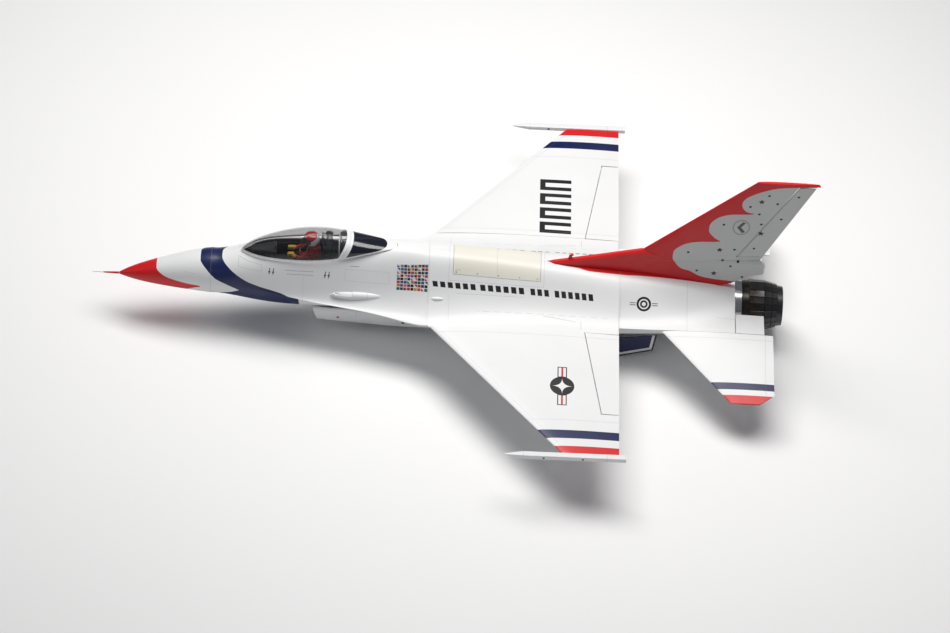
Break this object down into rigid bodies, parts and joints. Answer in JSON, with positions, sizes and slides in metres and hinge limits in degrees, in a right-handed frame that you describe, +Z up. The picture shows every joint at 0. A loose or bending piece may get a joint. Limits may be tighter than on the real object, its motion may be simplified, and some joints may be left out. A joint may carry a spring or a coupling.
{
  "type": "rc jet plane",
  "caption": "Large turbine radio controlled jet: chin intake, bubble canopy with pilot figure, blended strakes, all-moving tail, single fin and retracting wheels.",
  "frame": {"origin": "under the middle of the model, at the height of the ventral fins' tips", "axes": "+X aft, +Y to starboard, +Z up; the wing trailing edge is at X 0.5855 and the wing plane at Z 0.200"},
  "size_m": [2.4535, 1.5686, 0.748],
  "materials": {
    "white_gloss": "gloss lacquer over moulded composite",
    "red_gloss": "gloss lacquer",
    "navy_gloss": "gloss lacquer",
    "clear_glazing": "clear, lightly smoked",
    "dark_glazing": "dark tinted",
    "steel": "polished",
    "bright_alloy": "machined",
    "tyre": "matte",
    "burnt_steel": "heat darkened",
    "cockpit_plastic": "matte",
    "figure": "painted figure",
    "carbon_tube": "satin",
    "plywood": "bare",
    "tank": "translucent satin",
    "electronics": "satin",
    "duct_moulding": "satin gel coat"
  },
  "bodies": {
    "airframe": {"aft_canopy_frame": "white_gloss", "aft_canopy_glass": "dark_glazing", "batteries_and_receiver": "electronics", "canopy_guides": "bright_alloy", "centre_fuselage": "white_gloss", "cockpit_tub": "cockpit_plastic", "ejection_seat": "cockpit_plastic", "exhaust_nozzle": "burnt_steel", "forward_fuselage": "white_gloss", "fuel_tank": "tank", "fuselage_formers": "plywood", "gun_fairing": "white_gloss", "hinge_pins": "steel", "instrument_panel": "cockpit_plastic", "intake_duct": "duct_moulding", "intake_nacelle": "white_gloss", "launch_rail_left": "white_gloss", "launch_rail_right": "white_gloss", "nose_cone": "red_gloss", "nozzle_ring": "bright_alloy", "pilot_figure": "figure", "pitot_probe": "steel", "rear_fuselage": "white_gloss", "retract_units": "bright_alloy", "servos": "electronics", "stabilator_bearings": "bright_alloy", "tailpipe": "burnt_steel", "turbine": "bright_alloy", "turbine_mount": "bright_alloy", "ventral_fins": "navy_gloss", "vertical_fin": "red_gloss", "wing_joiner_tubes": "carbon_tube", "wing_left": "white_gloss", "wing_right": "white_gloss"},
    "canopy": {"canopy_frame": "white_gloss", "canopy_glass": "clear_glazing", "canopy_hinge_arms": "steel"},
    "equipment_hatch": {"equipment_hatch": "white_gloss"},
    "flaperon_left": {"flaperon_left": "white_gloss"},
    "flaperon_right": {"flaperon_right": "white_gloss"},
    "stabilator_left": {"stabilator_left": "white_gloss"},
    "stabilator_right": {"stabilator_right": "white_gloss"},
    "rudder": {"rudder": "red_gloss"},
    "speed_brake_upper_left": {"speed_brake_upper_left": "white_gloss"},
    "speed_brake_lower_left": {"speed_brake_lower_left": "white_gloss"},
    "speed_brake_upper_right": {"speed_brake_upper_right": "white_gloss"},
    "speed_brake_lower_right": {"speed_brake_lower_right": "white_gloss"},
    "nose_leg": {"nose_gear_leg": "bright_alloy", "nose_gear_door": "white_gloss"},
    "nose_fork": {"nose_gear_fork": "steel"},
    "nose_wheel": {"nose_tyre": "tyre", "nose_rim": "bright_alloy"},
    "main_leg_left": {"main_gear_leg_left": "bright_alloy", "main_gear_door_left": "white_gloss"},
    "main_wheel_left": {"main_left_tyre": "tyre", "main_left_rim": "bright_alloy"},
    "main_leg_right": {"main_gear_leg_right": "bright_alloy", "main_gear_door_right": "white_gloss"},
    "main_wheel_right": {"main_right_tyre": "tyre", "main_right_rim": "bright_alloy"}
  },
  "joints": [
    {"name": "canopy_hinge", "type": "hinge", "parent": "airframe", "child": "canopy", "pos_m": [-0.2295, 0, 0.35], "axis": [0, 1, 0], "range_deg": [0, 32]},
    {"name": "hatch_lift", "type": "slide", "parent": "airframe", "child": "equipment_hatch", "axis": [0, 0, 1], "range_m": [0, 0.12]},
    {"name": "flaperon_left_hinge", "type": "hinge", "parent": "airframe", "child": "flaperon_left", "pos_m": [0.4735, -0.223, 0.2], "axis": [-0.1595, 0.9872, 0], "range_deg": [-20, 20]},
    {"name": "flaperon_right_hinge", "type": "hinge", "parent": "airframe", "child": "flaperon_right", "pos_m": [0.4735, 0.223, 0.2], "axis": [0.1595, 0.9872, 0], "range_deg": [-20, 20]},
    {"name": "stabilator_left_pivot", "type": "hinge", "parent": "airframe", "child": "stabilator_left", "pos_m": [0.8855, 0, 0.195], "axis": [0, 1, 0], "range_deg": [-21, 21]},
    {"name": "stabilator_right_pivot", "type": "hinge", "parent": "airframe", "child": "stabilator_right", "pos_m": [0.8855, 0, 0.195], "axis": [0, 1, 0], "range_deg": [-21, 21]},
    {"name": "rudder_hinge", "type": "hinge", "parent": "airframe", "child": "rudder", "pos_m": [0.9775, 0, 0.386], "axis": [0.4801, 0, 0.8772], "range_deg": [-25, 25]},
    {"name": "brake_upper_left_hinge", "type": "hinge", "parent": "airframe", "child": "speed_brake_upper_left", "pos_m": [0.9865, -0.143, 0.197], "axis": [0, -1, 0], "range_deg": [0, 43]},
    {"name": "brake_lower_left_hinge", "type": "hinge", "parent": "airframe", "child": "speed_brake_lower_left", "pos_m": [0.9865, -0.143, 0.191], "axis": [0, 1, 0], "range_deg": [0, 43]},
    {"name": "brake_upper_right_hinge", "type": "hinge", "parent": "airframe", "child": "speed_brake_upper_right", "pos_m": [0.9865, 0.143, 0.197], "axis": [0, -1, 0], "range_deg": [0, 43]},
    {"name": "brake_lower_right_hinge", "type": "hinge", "parent": "airframe", "child": "speed_brake_lower_right", "pos_m": [0.9865, 0.143, 0.191], "axis": [0, 1, 0], "range_deg": [0, 43]},
    {"name": "main_gear_left_swing", "type": "hinge", "parent": "airframe", "child": "main_leg_left", "pos_m": [0.3235, -0.092, 0.105], "axis": [-0.6814, -0.6159, -0.3955], "range_deg": [0, 106.92]},
    {"name": "main_gear_right_swing", "type": "hinge", "parent": "airframe", "child": "main_leg_right", "pos_m": [0.3235, 0.092, 0.105], "axis": [0.6814, -0.6159, 0.3955], "range_deg": [0, 106.92]},
    {"name": "nose_gear_swing", "type": "hinge", "parent": "airframe", "child": "nose_leg", "pos_m": [-0.2845, 0, 0.051], "axis": [0, 1, 0], "range_deg": [0, 90.1]},
    {"name": "nose_fork_twist", "type": "hinge", "parent": "nose_leg", "child": "nose_fork", "pos_m": [-0.2845, 0, 0.051], "axis": [1, 0, 0], "range_deg": [0, 90.1]},
    {"name": "nose_wheel_spin", "type": "hinge", "parent": "nose_fork", "child": "nose_wheel", "pos_m": [-0.1685, 0, 0.051], "axis": [0, 0, 1], "continuous": true},
    {"name": "main_wheel_left_spin", "type": "hinge", "parent": "main_leg_left", "child": "main_wheel_left", "pos_m": [0.15565, -0.0465, 0.064], "axis": [0.1634, 0.1987, 0.9663], "continuous": true},
    {"name": "main_wheel_right_spin", "type": "hinge", "parent": "main_leg_right", "child": "main_wheel_right", "pos_m": [0.15565, 0.0465, 0.064], "axis": [0.1634, -0.1987, 0.9663], "continuous": true}
  ],
  "couplings": [
    {"joint": "brake_lower_left_hinge", "follows": "brake_upper_left_hinge", "ratio": 1},
    {"joint": "brake_upper_right_hinge", "follows": "brake_upper_left_hinge", "ratio": 1},
    {"joint": "brake_lower_right_hinge", "follows": "brake_upper_left_hinge", "ratio": 1},
    {"joint": "main_gear_right_swing", "follows": "main_gear_left_swing", "ratio": 1},
    {"joint": "nose_gear_swing", "follows": "main_gear_left_swing", "ratio": 0.84178},
    {"joint": "nose_fork_twist", "follows": "main_gear_left_swing", "ratio": 0.84178}
  ]
}
